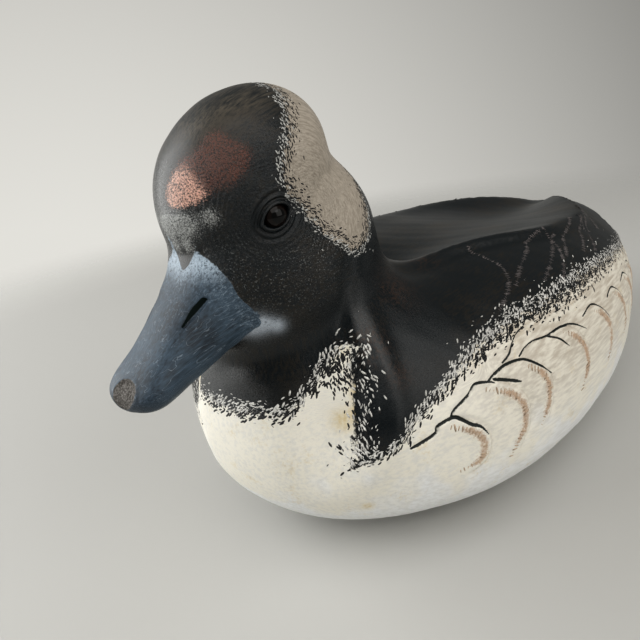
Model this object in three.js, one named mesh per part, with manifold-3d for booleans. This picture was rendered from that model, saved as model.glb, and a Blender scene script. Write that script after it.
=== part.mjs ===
// A carved and painted wooden duck: the drake of a small diving duck, at about its natural size.
// Body, neck, head and bill are one solid of wood, flat below, and two glass eyes are set into the head.
// Millimetres. The duck faces -Y and its left side is +X. Z is up, and the underside is at z = 0.
import * as THREE from "three";
import { mergeVertices } from "three/addons/utils/BufferGeometryUtils.js";
import Module from "manifold-3d";

const wasm = await Module();
wasm.setup();

// Body: an egg-like hull, widest at y = 0, full at the breast and drawn out towards the tail.
const BODY = {
  halfWidth: 70,
  halfHeight: 44.4,
  midZ: 37.8, // the hull's lowest 6.6 mm are cut off flat
  breastLength: 107.2,
  sternLength: 139,
  squareness: 2.37, // of the cross-section: 2 is an ellipse
  lowFlankSquareness: 2.57, // low down, from the breast's sides back
  lowFlankFrom: [-112, -92],
  lowFlankDepth: 0.6, // share of the half height over which it comes
  breastPower: 2.23,
  sternPower: 2.18,
  sternRise: 10.5,
  sternNarrowing: 0.4,
  sternFlattening: 0.436,
  taperEnd: 1.2, // share of the stern's length past which it narrows no further
};
const NECK = { lowY: -73.4, lowZ: 48, lowRadius: 35.7, topY: -86.2, topZ: 94, topRadius: 24.1, blend: 20 };
const TAIL = { y: 107.3, z: 48, radii: [23, 32, 6], tilt: 7, blend: 9 };

// Carving on the trunk: a trough along the back between two wing crests, and a shoulder behind a hollow.
// Each pair is the stretch of y, z or distance from the middle over which the carving comes or goes.
const TROUGH = {
  depthFront: 9,
  depthMiddle: 7,
  shallowsOver: [-40, 30],
  fadesOver: [50, 135],
  sidePower: 1.5, // of its profile, which rises from the middle to the crests
  comesOver: [-72, -30],
  risesOver: [40, 66],
};
const CREST = {
  xFront: 23.5,
  xMiddle: 45.5,
  xRear: 8.5,
  spreadsOver: [-48, 20],
  closesOver: [35, 120],
  height: 1.2,
  innerWidth: 9,
  outerWidth: 4,
  goesOver: [45, 118],
};
const SHOULDER = {
  planeY: -115.5,
  lean: 0.33,
  hollow: 3.2,
  hollowWidth: 7.5,
  hollowSet: 8,
  edge: 1.5,
  edgeWidth: 4.5,
  edgeSet: 2.5,
  sideOver: [13, 31],
  lowOver: [22, 54],
  highOver: [72, 88],
};

// Head: three bulges in a frame of their own at the head's middle, nodding forward by its pitch.
const HEAD = { y: -90, z: 106, pitch: 11.5, blend: 7 };
const CROWN = { y: -0.8, z: 12.2, radii: [22.9, 27.1, 20.6], tilt: 19.5 };
const CHEEK = { y: 2.1, z: -15, radii: [27.1, 31.3, 23.4], blend: 12.9 };
const NAPE = { y: 13.5, z: -6.4, radii: [22.9, 17.7, 17.2], blend: 5.8 };
const CHEEK_GROOVE = {
  depth: 1.6,
  width: 4,
  y: 3,
  z: -10,
  slope: 0.55,
  sideOver: [16, 22],
  lowOver: [-34, -26],
  highOver: [-14, -6],
};

// Bill: heights and half-widths at its base, middle and tip.
const BILL = {
  baseY: -24.3,
  tipY: -60.4,
  top: [2.8, -9.9, -18.4],
  bottom: [-23.7, -26, -25.1],
  halfWidth: [14.4, 11, 11],
  squareness: 2.5,
  tipRounding: 0.225, // share of its length
  tipPower: 2.3,
  rootShare: 0.2, // how far it runs on inside the head, as a share of its length
  blend: 3,
};

// Glass eyes: balls in round sockets, in the head's frame.
const EYE = { radius: 3.3, gap: 0.3, x: 19.4, y: -12.1, z: 5.4 };

// Rough spacing of the points on the wood's skin: finer at the head and bill, coarser on the body.
const STEP = { head: 4.3, body: 7.2, tail: 5.4 };
const BALL_SIDES = [16, 12]; // round and from pole to pole, of the eyes and their sockets

const PAINTED_WOOD = new THREE.MeshStandardMaterial({ color: 0x1d1e20, roughness: 0.45, metalness: 0 });
const DARK_GLASS = new THREE.MeshStandardMaterial({ color: 0x070605, roughness: 0.06, metalness: 0 });

const { clamp, degToRad, smoothstep } = THREE.MathUtils;
const coming = (value, [from, to]) => smoothstep(value, from, to);
const going = (value, over) => 1 - coming(value, over);
const bump = (distance, width) => Math.exp(-((distance / width) ** 2));

// Joins two shapes' distances with a fillet of about the given width.
function blend(a, b, width) {
  const share = clamp(0.5 + (0.5 * (b - a)) / width, 0, 1);
  return b * (1 - share) + a * share - width * share * (1 - share);
}

// Distance to an ellipsoid whose length is tilted about X, nose down for a positive tilt.
function bulge(x, y, z, { y: midY, z: midZ, radii, tilt = 0 }) {
  const turn = degToRad(tilt);
  const along = Math.cos(turn) * (y - midY) + Math.sin(turn) * (z - midZ);
  const above = Math.cos(turn) * (z - midZ) - Math.sin(turn) * (y - midY);
  const [rx, ry, rz] = radii;
  const reach = Math.hypot(x / rx, along / ry, above / rz) + 1e-9;
  const slope = Math.hypot(x / rx ** 2, along / ry ** 2, above / rz ** 2) + 1e-9;
  return (reach * (reach - 1)) / slope;
}

function hull(x, y, z) {
  const stern = y > 0;
  const share = Math.abs(y) / (stern ? BODY.sternLength : BODY.breastLength);
  const taper = stern ? Math.min(share, BODY.taperEnd) ** 2 : 0;
  const width = BODY.halfWidth * (1 - BODY.sternNarrowing * taper);
  const height = BODY.halfHeight * (1 - BODY.sternFlattening * taper);
  const rise = z - BODY.midZ - BODY.sternRise * taper;
  const lowFlank = coming(y, BODY.lowFlankFrom) * coming(-rise / height, [0, BODY.lowFlankDepth]);
  const power = BODY.squareness + (BODY.lowFlankSquareness - BODY.squareness) * lowFlank;
  const total =
    (Math.abs(x) / width) ** power +
    (Math.abs(rise) / height) ** power +
    share ** (stern ? BODY.sternPower : BODY.breastPower);
  const evenness = 0.8; // keeps the value near a true distance on average
  return evenness * Math.min(width, height) * (total ** (1 / BODY.squareness) - 1);
}

function neck(x, y, z) {
  const axis = [NECK.topY - NECK.lowY, NECK.topZ - NECK.lowZ];
  const way = [y - NECK.lowY, z - NECK.lowZ];
  const t = clamp((way[0] * axis[0] + way[1] * axis[1]) / (axis[0] ** 2 + axis[1] ** 2), 0, 1);
  const radius = NECK.lowRadius + (NECK.topRadius - NECK.lowRadius) * smoothstep(t, 0, 1);
  return Math.hypot(x, way[0] - t * axis[0], way[1] - t * axis[1]) - radius;
}

// Wood taken off the trunk at a point, in mm; negative where the carving stands proud.
function trunkCarving(x, y, z) {
  const side = Math.abs(x);
  const crestX =
    CREST.xFront +
    (CREST.xMiddle - CREST.xFront) * coming(y, CREST.spreadsOver) -
    (CREST.xMiddle - CREST.xRear) * coming(y, CREST.closesOver);
  const depth =
    TROUGH.depthFront +
    (TROUGH.depthMiddle - TROUGH.depthFront) * coming(y, TROUGH.shallowsOver) -
    TROUGH.depthMiddle * coming(y, TROUGH.fadesOver);
  const trough = depth * Math.max(1 - (side / crestX) ** 2, 0) ** TROUGH.sidePower;
  const crestWidth = side < crestX ? CREST.innerWidth : CREST.outerWidth;
  const crest = CREST.height * bump(side - crestX, crestWidth) * going(y, CREST.goesOver);
  const onBack = coming(y, TROUGH.comesOver) * coming(z, TROUGH.risesOver);

  const behind = (y - SHOULDER.planeY - SHOULDER.lean * z) / Math.hypot(1, SHOULDER.lean);
  const onFlank =
    coming(side, SHOULDER.sideOver) * coming(z, SHOULDER.lowOver) * going(z, SHOULDER.highOver);
  const shoulder =
    SHOULDER.hollow * bump(behind + SHOULDER.hollowSet, SHOULDER.hollowWidth) -
    SHOULDER.edge * bump(behind - SHOULDER.edgeSet, SHOULDER.edgeWidth);
  return (trough - crest) * onBack + shoulder * onFlank;
}

function trunk(x, y, z) {
  const carved = blend(hull(x, y, z), neck(x, y, z), NECK.blend) + trunkCarving(x, y, z);
  return blend(carved, bulge(x, y, z, TAIL), TAIL.blend);
}

function skull(x, y, z) {
  const puffed = blend(bulge(x, y, z, CROWN), bulge(x, y, z, CHEEK), CHEEK.blend);
  const smooth = blend(puffed, bulge(x, y, z, NAPE), NAPE.blend);
  const { depth, width, slope, sideOver, lowOver, highOver } = CHEEK_GROOVE;
  const behind = y - CHEEK_GROOVE.y - slope * (z - CHEEK_GROOVE.z);
  const onCheek = coming(Math.abs(x), sideOver) * coming(z, lowOver) * going(z, highOver);
  return smooth + depth * bump(behind, width) * onCheek;
}

// The parabola through three values at t = 0, 1/2 and 1.
function through([first, middle, last], t) {
  return first + (4 * middle - 3 * first - last) * t + (2 * first - 4 * middle + 2 * last) * t * t;
}

function bill(x, y, z) {
  const length = BILL.baseY - BILL.tipY;
  const share = (BILL.baseY - y) / length;
  const t = clamp(share, -BILL.rootShare, 1);
  const width = through(BILL.halfWidth, t);
  const top = through(BILL.top, t);
  const bottom = through(BILL.bottom, t);
  const height = (top - bottom) / 2;
  const tip = Math.max((share - 1 + BILL.tipRounding) / BILL.tipRounding, 0);
  const total =
    (Math.abs(x) / width) ** BILL.squareness +
    (Math.abs(z - (top + bottom) / 2) / height) ** BILL.squareness +
    tip ** BILL.tipPower;
  const tapered = Math.min(width, height) * (total ** (1 / BILL.squareness) - 1);
  return Math.max(tapered, -(share + BILL.rootShare) * length);
}

// The whole carving: below zero inside the wood, about the distance in mm outside it.
function carving({ x, y, z }) {
  const pitch = degToRad(HEAD.pitch);
  const ahead = Math.cos(pitch) * (y - HEAD.y) + Math.sin(pitch) * (z - HEAD.z);
  const above = Math.cos(pitch) * (z - HEAD.z) - Math.sin(pitch) * (y - HEAD.y);
  const head = blend(skull(x, ahead, above), bill(x, ahead, above), BILL.blend);
  return blend(trunk(x, y, z), head, HEAD.blend);
}

// Positions of the cutting planes: runs of [from, to, rough step].
function planes(...runs) {
  const at = [];
  for (const [from, to, step] of runs) {
    const count = Math.round((to - from) / step);
    for (let i = 0; i < count; i++) at.push(from + (i * (to - from)) / count);
  }
  at.push(runs.at(-1)[1]);
  return at;
}

// Moves a point straight onto the surface of a shape.
function settle(point, shape) {
  const step = 0.05;
  for (let round = 0; round < 3; round++) {
    const slope = new THREE.Vector3();
    for (const axis of ["x", "y", "z"]) {
      const ahead = point.clone();
      const behind = point.clone();
      ahead[axis] += step;
      behind[axis] -= step;
      slope[axis] = (shape(ahead) - shape(behind)) / (2 * step);
    }
    point.addScaledVector(slope, -shape(point) / slope.lengthSq());
  }
}

// Turns a shape's distance into one closed skin: a point in each cell of the planes' grid that the
// surface passes through, and a four-sided face across each grid edge that it cuts.
function skin(shape, xs, ys, zs) {
  const size = [xs.length, ys.length, zs.length];
  const node = (i, j, k) => new THREE.Vector3(xs[i], ys[j], zs[k]);
  const index = (i, j, k) => (i * size[1] + j) * size[2] + k;
  const inside = new Uint8Array(size[0] * size[1] * size[2]);
  for (let i = 0; i < size[0]; i++)
    for (let j = 0; j < size[1]; j++)
      for (let k = 0; k < size[2]; k++) inside[index(i, j, k)] = shape(node(i, j, k)) < 0 ? 1 : 0;

  const points = [];
  const faces = [];
  const pointOfCell = new Map();
  const pointIn = (cell) => {
    const key = index(...cell);
    if (!pointOfCell.has(key)) {
      const [i, j, k] = cell;
      pointOfCell.set(key, points.length);
      points.push(node(i, j, k).lerp(node(i + 1, j + 1, k + 1), 0.5));
    }
    return pointOfCell.get(key);
  };
  for (let i = 0; i < size[0] - 1; i++)
    for (let j = 0; j < size[1] - 1; j++)
      for (let k = 0; k < size[2] - 1; k++)
        for (let axis = 0; axis < 3; axis++) {
          const here = [i, j, k];
          const next = [i, j, k];
          next[axis] += 1;
          const leaving = inside[index(...here)] - inside[index(...next)];
          if (leaving === 0) continue;
          const [u, v] = [(axis + 1) % 3, (axis + 2) % 3];
          const ring = [[0, 0], [-1, 0], [-1, -1], [0, -1]].map(([du, dv]) => {
            const cell = [...here];
            cell[u] += du;
            cell[v] += dv;
            return pointIn(cell);
          });
          faces.push(leaving > 0 ? ring : ring.reverse());
        }

  // Even out the points along the surface, then bring each one back onto it.
  for (let round = 0; round < 4; round++) {
    const sums = points.map(() => ({ at: new THREE.Vector3(), count: 0 }));
    for (const face of faces)
      face.forEach((corner, side) => {
        sums[corner].at.add(points[face[(side + 1) % 4]]);
        sums[corner].count += 1;
      });
    points.forEach((point, corner) => {
      point.lerp(sums[corner].at.divideScalar(sums[corner].count), 0.6);
      settle(point, shape);
    });
  }

  // Each face is cut into two triangles along its shorter diagonal.
  const triangles = faces.flatMap(([a, b, c, d]) =>
    points[a].distanceTo(points[c]) < points[b].distanceTo(points[d])
      ? [a, b, c, a, c, d]
      : [b, c, d, b, d, a],
  );
  return new THREE.BufferGeometry().setFromPoints(points).setIndex(triangles);
}

function solidOf(geometry) {
  const bare = geometry.clone().deleteAttribute("normal").deleteAttribute("uv");
  const merged = mergeVertices(bare);
  return new wasm.Manifold(
    new wasm.Mesh({
      numProp: 3,
      vertProperties: merged.attributes.position.array,
      triVerts: new Uint32Array(merged.index.array),
    }),
  );
}

function geometryOf(solid) {
  const mesh = solid.getMesh();
  return new THREE.BufferGeometry()
    .setAttribute("position", new THREE.BufferAttribute(mesh.vertProperties, 3))
    .setIndex(new THREE.BufferAttribute(mesh.triVerts, 1));
}

function eyeCentre(side) {
  return new THREE.Vector3(side * EYE.x, EYE.y, EYE.z)
    .applyAxisAngle(new THREE.Vector3(1, 0, 0), degToRad(HEAD.pitch))
    .add(new THREE.Vector3(0, HEAD.y, HEAD.z));
}

// The wood: the whole skin, less the slab below the underside and the two sockets.
function carvedDuck() {
  const { head, body, tail } = STEP;
  const acrossX = planes([-78, -30, body], [-30, 30, head], [30, 78, body]);
  const alongY = planes([-151, -62, head], [-62, 100, body], [100, 151, tail]);
  const upZ = planes([-12, 72, body], [72, 147, head]);
  let wood = solidOf(skin(carving, acrossX, alongY, upZ));
  const slabHeight = 60;
  const slab = new THREE.BoxGeometry(400, 400, slabHeight).translate(0, 0, -slabHeight / 2);
  wood = wood.subtract(solidOf(slab));
  for (const side of [1, -1]) {
    const centre = eyeCentre(side);
    const socket = new THREE.SphereGeometry(EYE.radius + EYE.gap, ...BALL_SIDES).translate(...centre);
    wood = wood.subtract(solidOf(socket));
  }
  const mesh = new THREE.Mesh(geometryOf(wood), PAINTED_WOOD);
  mesh.name = "carved_duck";
  return mesh;
}

function glassEye(name, side) {
  const mesh = new THREE.Mesh(new THREE.SphereGeometry(EYE.radius, ...BALL_SIDES), DARK_GLASS);
  mesh.position.copy(eyeCentre(side));
  mesh.name = name;
  return mesh;
}

const duck = new THREE.Group();
duck.add(carvedDuck(), glassEye("glass_eye_left", 1), glassEye("glass_eye_right", -1));

// The origin is midway between the tip of the bill and the tip of the tail.
const extent = new THREE.Box3().setFromObject(duck);
duck.position.y = -(extent.min.y + extent.max.y) / 2;

export default duck;
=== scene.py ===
import math

import bmesh
import bpy
import numpy as np
from mathutils import Matrix, Vector


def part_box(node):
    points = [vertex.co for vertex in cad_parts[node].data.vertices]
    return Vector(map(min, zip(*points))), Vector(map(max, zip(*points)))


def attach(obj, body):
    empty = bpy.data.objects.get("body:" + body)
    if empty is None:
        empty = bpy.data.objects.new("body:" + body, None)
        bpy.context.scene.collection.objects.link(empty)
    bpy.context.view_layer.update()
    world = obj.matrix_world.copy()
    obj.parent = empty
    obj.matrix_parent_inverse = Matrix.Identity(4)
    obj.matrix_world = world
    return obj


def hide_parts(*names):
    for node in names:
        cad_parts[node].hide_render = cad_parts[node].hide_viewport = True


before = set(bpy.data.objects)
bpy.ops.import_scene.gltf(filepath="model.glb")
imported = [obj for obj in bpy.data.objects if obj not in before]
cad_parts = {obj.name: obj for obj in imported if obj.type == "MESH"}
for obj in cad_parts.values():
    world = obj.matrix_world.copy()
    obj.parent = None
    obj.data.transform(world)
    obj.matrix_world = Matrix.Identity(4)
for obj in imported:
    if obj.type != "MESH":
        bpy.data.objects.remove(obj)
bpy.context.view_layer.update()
scene = bpy.context.scene

# The wood: body, neck, head and bill of a small drake, carved from one block and flat below.
# Its form is given as a distance, in millimetres, from each point of space to the finished surface.
# The duck faces -Y, its left side is +X, and the head has a frame of its own, nodding forward.
BODY_HALF_WIDTH, BODY_HALF_HEIGHT, BODY_MID_Z = 70, 44.4, 37.8
BREAST_LENGTH, STERN_LENGTH = 107.2, 139
STERN_RISE, STERN_NARROWING, STERN_FLATTENING, TAPER_END = 10.5, 0.4, 0.436, 1.2
SQUARENESS, LOW_FLANK_SQUARENESS, BREAST_POWER, STERN_POWER, HULL_SLOPE = 2.37, 2.57, 2.23, 2.18, 0.8
NECK_LOW, NECK_TOP = np.array([0, -73.4, 48]), np.array([0, -86.2, 94])
NECK_LOW_RADIUS, NECK_TOP_RADIUS, NECK_FILLET = 35.7, 24.1, 20
TAIL = {"at": (107.3, 48), "radii": (23, 32, 6), "tilt": 7}
TAIL_FILLET = 9
HEAD_Y, HEAD_Z, HEAD_PITCH = -90, 106, math.radians(11.5)
HEAD_FILLET = 7
CROWN = {"at": (-0.8, 12.2), "radii": (22.9, 27.1, 20.6), "tilt": 19.5}
CHEEK = {"at": (2.1, -15), "radii": (27.1, 31.3, 23.4)}
NAPE = {"at": (13.5, -6.4), "radii": (22.9, 17.7, 17.2)}
CHEEK_FILLET, NAPE_FILLET, BILL_FILLET = 12.9, 5.8, 3
BILL_BASE_Y, BILL_TIP_Y = -24.3, -60.4
BILL_TOP, BILL_BOTTOM, BILL_HALF_WIDTH = (2.8, -9.9, -18.4), (-23.7, -26, -25.1), (14.4, 11, 11)
BILL_TIP_ROUNDING, BILL_POWER, BILL_TIP_POWER = 0.225, 2.5, 2.3
# The larger carving: the hollow of the back between the wings' crests, as sizes in front, midway and behind,
# the hollow before each shoulder, and the soft groove down each cheek.
TROUGH_DEPTHS, TROUGH_POWER, CREST_X, CREST_HEIGHT = (9, 7, 0), 1.5, (23.5, 45.5, 8.5), 1.2
SHOULDER_Y, SHOULDER_LEAN, SHOULDER_HOLLOW, SHOULDER_SWELL = -115.5, 0.33, 3.2, 1.5
CHEEK_GROOVE_DEPTH, CHEEK_GROOVE_LEAN = 1.6, 0.55
EYE_PLACE = np.array([19.4, -12.1, 5.4])


def ramp(value, start, end):
    """0 before start, 1 after end, and smooth between them."""
    share = np.clip((value - start) / (end - start), 0, 1)
    return share * share * (3 - 2 * share)


def hump(distance, width):
    return np.exp(-((distance / width) ** 2))


def fillet(a, b, width):
    """Joins two shapes' distances, with a fillet of about that width."""
    share = np.clip(0.5 + 0.5 * (b - a) / width, 0, 1)
    return b * (1 - share) + a * share - width * share * (1 - share)


def bulge(p, at, radii, tilt=0):
    """Distance to an ellipsoid on the middle plane, tilted nose down."""
    turn = math.radians(tilt)
    y, z = p[..., 1] - at[0], p[..., 2] - at[1]
    local = (p[..., 0], math.cos(turn) * y + math.sin(turn) * z, math.cos(turn) * z - math.sin(turn) * y)
    reach = np.sqrt(sum((v / r) ** 2 for v, r in zip(local, radii))) + 1e-9
    slope = np.sqrt(sum((v / r**2) ** 2 for v, r in zip(local, radii))) + 1e-9
    return reach * (reach - 1) / slope


def hull(p):
    x, y, z = p[..., 0], p[..., 1], p[..., 2]
    share = np.abs(y) / np.where(y > 0, STERN_LENGTH, BREAST_LENGTH)
    taper = np.where(y > 0, np.minimum(share, TAPER_END), 0) ** 2
    width = BODY_HALF_WIDTH * (1 - STERN_NARROWING * taper)
    height = BODY_HALF_HEIGHT * (1 - STERN_FLATTENING * taper)
    rise = z - BODY_MID_Z - STERN_RISE * taper
    low_flank = ramp(y, -112, -92) * ramp(-rise / height, 0, 0.6)
    power = SQUARENESS + (LOW_FLANK_SQUARENESS - SQUARENESS) * low_flank
    total = (np.abs(x) / width) ** power + (np.abs(rise) / height) ** power
    total += share ** np.where(y > 0, STERN_POWER, BREAST_POWER)
    return HULL_SLOPE * np.minimum(width, height) * (total ** (1 / SQUARENESS) - 1)


def neck(p):
    axis = NECK_TOP - NECK_LOW
    share = np.clip(((p - NECK_LOW) @ axis) / (axis @ axis), 0, 1)
    radius = NECK_LOW_RADIUS + (NECK_TOP_RADIUS - NECK_LOW_RADIUS) * ramp(share, 0, 1)
    return np.linalg.norm(p - NECK_LOW - share[..., None] * axis, axis=-1) - radius


def down_the_back(y, sizes, first, second):
    """Goes from the first size to the second, then to the third, over two stretches of the back."""
    front, midway, behind = sizes
    return front + (midway - front) * ramp(y, *first) + (behind - midway) * ramp(y, *second)


def wing_crest_x(y):
    """How far from the middle the upper edge of the folded wing runs."""
    return down_the_back(y, CREST_X, (-48, 20), (35, 120))


def behind_shoulder(p):
    """Distance behind the leaning plane of the shoulder's front edge."""
    return (p[..., 1] - SHOULDER_Y - SHOULDER_LEAN * p[..., 2]) / math.hypot(1, SHOULDER_LEAN)


def trunk(p):
    x, y, z = np.abs(p[..., 0]), p[..., 1], p[..., 2]
    crest_x = wing_crest_x(y)
    trough_depth = down_the_back(y, TROUGH_DEPTHS, (-40, 30), (50, 135))
    trough = trough_depth * np.maximum(1 - (x / crest_x) ** 2, 0) ** TROUGH_POWER
    crest = CREST_HEIGHT * hump(x - crest_x, np.where(x < crest_x, 9, 4)) * (1 - ramp(y, 45, 118))
    cut = (trough - crest) * ramp(y, -72, -30) * ramp(z, 40, 66)
    behind = behind_shoulder(p)
    on_side = ramp(x, 13, 31) * ramp(z, 22, 54) * (1 - ramp(z, 72, 88))
    cut += (SHOULDER_HOLLOW * hump(behind + 8, 7.5) - SHOULDER_SWELL * hump(behind - 2.5, 4.5)) * on_side
    carved = fillet(hull(p), neck(p), NECK_FILLET) + cut
    return fillet(carved, bulge(p, **TAIL), TAIL_FILLET)


def to_head(p):
    y, z = p[..., 1] - HEAD_Y, p[..., 2] - HEAD_Z
    c, s = math.cos(HEAD_PITCH), math.sin(HEAD_PITCH)
    return np.stack([p[..., 0], c * y + s * z, c * z - s * y], -1)


def from_head(q):
    c, s = math.cos(HEAD_PITCH), math.sin(HEAD_PITCH)
    y, z = q[..., 1], q[..., 2]
    return np.stack([q[..., 0], c * y - s * z + HEAD_Y, s * y + c * z + HEAD_Z], -1)


def through(values, t):
    """The parabola through three values at t = 0, 1/2 and 1."""
    first, middle, last = values
    return first + (4 * middle - 3 * first - last) * t + (2 * first - 4 * middle + 2 * last) * t * t


def along_bill(q):
    """How far along the bill a point is: 0 at its base and 1 at its tip."""
    return (BILL_BASE_Y - q[..., 1]) / (BILL_BASE_Y - BILL_TIP_Y)


def bill(q):
    share = along_bill(q)
    t = np.clip(share, -0.2, 1)
    width, top, bottom = through(BILL_HALF_WIDTH, t), through(BILL_TOP, t), through(BILL_BOTTOM, t)
    height = (top - bottom) / 2
    tip = np.maximum((share - 1 + BILL_TIP_ROUNDING) / BILL_TIP_ROUNDING, 0)
    total = (np.abs(q[..., 0]) / width) ** BILL_POWER
    total += (np.abs(q[..., 2] - (top + bottom) / 2) / height) ** BILL_POWER
    total += tip**BILL_TIP_POWER
    root = -(share + 0.2) * (BILL_BASE_Y - BILL_TIP_Y)
    return np.maximum((total ** (1 / BILL_POWER) - 1) * np.minimum(width, height), root)


def skull(q):
    head = fillet(fillet(bulge(q, **CROWN), bulge(q, **CHEEK), CHEEK_FILLET), bulge(q, **NAPE), NAPE_FILLET)
    x, y, z = np.abs(q[..., 0]), q[..., 1], q[..., 2]
    groove = CHEEK_GROOVE_DEPTH * hump(y - 3 - CHEEK_GROOVE_LEAN * (z + 10), 4)
    return head + groove * ramp(x, 16, 22) * ramp(z, -34, -26) * (1 - ramp(z, -14, -6))


def wood(p):
    q = to_head(p)
    return fillet(trunk(p), fillet(skull(q), bill(q), BILL_FILLET), HEAD_FILLET)


# The knife's lines. The same ones are cut on both sides, so each is given once, for the left side, as a
# curve through a few points: on the flank and the head's side as (y, z), in the body's or head's frame.
FLANK_CUTS = [
    # points, half width, depth: the run under the lowest feather, then upwards and back
    ([(-92, 42.5), (-88.6, 43.2), (-85, 44.6), (-84.3, 46.2), (-80.5, 47.1), (-78.6, 46.7), (-75.3, 43.4),
      (-72.6, 41.5), (-70.9, 38.5)], 0.56, 0.8),
    ([(-80.5, 47.1), (-78.8, 49.1), (-73.5, 51.5), (-70.5, 53.4), (-66.5, 52.7), (-65.2, 52)], 0.42, 0.6),
    ([(-66.5, 53), (-62.9, 54.4), (-59.2, 55.2), (-54.2, 54.8), (-51.4, 53.6), (-48.1, 50.8), (-43.9, 46.7)],
     0.4, 0.6),
    ([(-64.8, 52.8), (-60.9, 51.2), (-56.9, 49.3)], 0.5, 0.6),
    ([(-53.8, 55.6), (-50.6, 56.7), (-46, 57.4), (-40.3, 56.9), (-33.2, 57.1), (-26, 55.6), (-20, 52)],
     0.32, 0.45),
    ([(-40.3, 56.9), (-35.8, 54.5), (-32.5, 51)], 0.32, 0.4),
    ([(-60.1, 55.9), (-56.9, 57), (-53.7, 58.9), (-49.5, 60.8), (-46.3, 61.6)], 0.25, 0.3),
]
FEATHER_EDGES = [
    [(-80, 46.3), (-75.3, 43.6), (-72.2, 40.6), (-70.4, 36.2), (-71.2, 31.4), (-73.6, 28.9), (-78.4, 27.4)],
    [(-67.5, 52.8), (-61.9, 50), (-57.8, 46.1), (-55.9, 41.4), (-56.2, 34.8), (-58.7, 30.6), (-60.6, 26)],
    [(-51, 53.6), (-47.2, 50.2), (-45, 45.5), (-45.2, 41), (-46.2, 36.7), (-48.5, 31.3)],
]
# Behind these the same feather is cut again and again towards the tail, each one a little smaller.
FEATHER_STEP, FEATHER_SHRINK, FEATHER_SINK, FEATHERS_BEHIND = 23, 0.93, 0.9, 5
CUT_BEHIND_HALF_WIDTH, CUT_BEHIND_DEPTH = 0.32, 0.4
NEXT_FEATHER = [(-42, 56.5), (-33, 57.6), (-27.5, 54.5), (-23.5, 49.5), (-22, 44), (-23, 38.5), (-25.5, 33)]
first_y, first_z = NEXT_FEATHER[0]
for number in range(FEATHERS_BEHIND):
    size = FEATHER_SHRINK**number
    start_y = first_y + FEATHER_STEP * (1 - size) / (1 - FEATHER_SHRINK)
    start_z = first_z - FEATHER_SINK * number
    edge = [(start_y + (y - first_y) * size, start_z + (z - first_z) * size) for y, z in NEXT_FEATHER]
    FEATHER_EDGES.append(edge[1:])
    if number:
        FLANK_CUTS.append((edge[:4], CUT_BEHIND_HALF_WIDTH, CUT_BEHIND_DEPTH))

TEMPLE_CREASE = [(17.6, 5.9), (11, 7.6), (5.7, 8.1), (-1.3, 4.3)]
JAW_LINE = [(-27.5, -16.4), (-24.6, -17), (-22.4, -17.2), (-20.1, -17.8)]
NOSTRIL = [(-33.6, -7.2), (-35.6, -8.1), (-38, -9.2), (-41, -10.6)]
EYE_HALF_LENGTH, EYE_HALF_HEIGHT, EYE_TILT = 3.7, 2.45, 0.16
EYE_ON_SKIN, EYE_OUTWARD = np.array([20.88, -12.69, 5.5]), np.array([0.918, -0.394, 0.036])
NAIL_MIDDLE, NAIL_HALF_WIDTH, NAIL_HALF_LENGTH = np.array([0.3, -58.3, -19.7]), 4.2, 3.5
NAIL_ALONG = np.array([0, -0.637, -0.77])
NOSTRIL_HALF_WIDTH, NOSTRIL_NARROWING = 0.58, 0.33
FLANK_FROM_X, FAR_OFF = 12, 99


def drawn(points, step=0.4):
    """A smooth curve through the points, as many short straight pieces."""
    p = np.array(points, float)
    p = np.concatenate([[2 * p[0] - p[1]], p, [2 * p[-1] - p[-2]]])
    curve = []
    for a, b, c, d in zip(p, p[1:], p[2:], p[3:]):
        count = max(int(np.linalg.norm(c - b) / step), 2)
        t = np.arange(count)[:, None] / count
        curve.append(0.5 * (2 * b + (c - a) * t + (2 * a - 5 * b + 4 * c - d) * t**2
                            + (3 * b - a - 3 * c + d) * t**3))
    return np.concatenate([*curve, p[-2:-1]])


def along_line(at, line, reach=8):
    """Each point's distance from a curve, its place along it from 0 to 1, and how far right of it it is."""
    distance, share, right = np.full(len(at), 1e3), np.zeros(len(at)), np.full(len(at), 1e3)
    near = np.flatnonzero(((at > line.min(0) - reach) & (at < line.max(0) + reach)).all(1))
    if not len(near):
        return distance, share, right
    way = line[1:] - line[:-1]
    length = np.linalg.norm(way, axis=1)
    start = np.concatenate([[0], np.cumsum(length)])
    offset = at[near, None] - line[:-1]
    t = np.clip((offset * way).sum(2) / length**2, 0, 1)
    gap = np.linalg.norm(offset - t[..., None] * way, axis=2)
    best = gap.argmin(1)
    row = np.arange(len(near))
    distance[near] = gap[row, best]
    share[near] = (start[best] + t[row, best] * length[best]) / start[-1]
    cross = way[best, 0] * offset[row, best, 1] - way[best, 1] * offset[row, best, 0]
    right[near] = np.where(cross < 0, 1, -1) * gap[row, best]
    return distance, share, right


flank_cuts = [(drawn(points), half_width, depth) for points, half_width, depth in FLANK_CUTS]
feather_edges = [drawn(points) for points in FEATHER_EDGES]
temple_crease, jaw_line, nostril = drawn(TEMPLE_CREASE), drawn(JAW_LINE), drawn(NOSTRIL)


def mirrored(p):
    return np.concatenate([np.abs(p[:, :1]), p[:, 1:]], 1)


def round_eye(q):
    """Distances from the middle of the eye, across the head's side: in all, forwards, and upwards."""
    d = mirrored(q) - EYE_ON_SKIN
    forwards = np.cross([0, 0, 1], EYE_OUTWARD)
    forwards = -forwards / np.linalg.norm(forwards)
    upwards = np.cross(EYE_OUTWARD, -forwards)
    a, b = d @ forwards, d @ upwards
    beside = np.abs(d @ EYE_OUTWARD) < 8
    return np.where(beside, np.hypot(a, b), FAR_OFF), a, b


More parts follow.
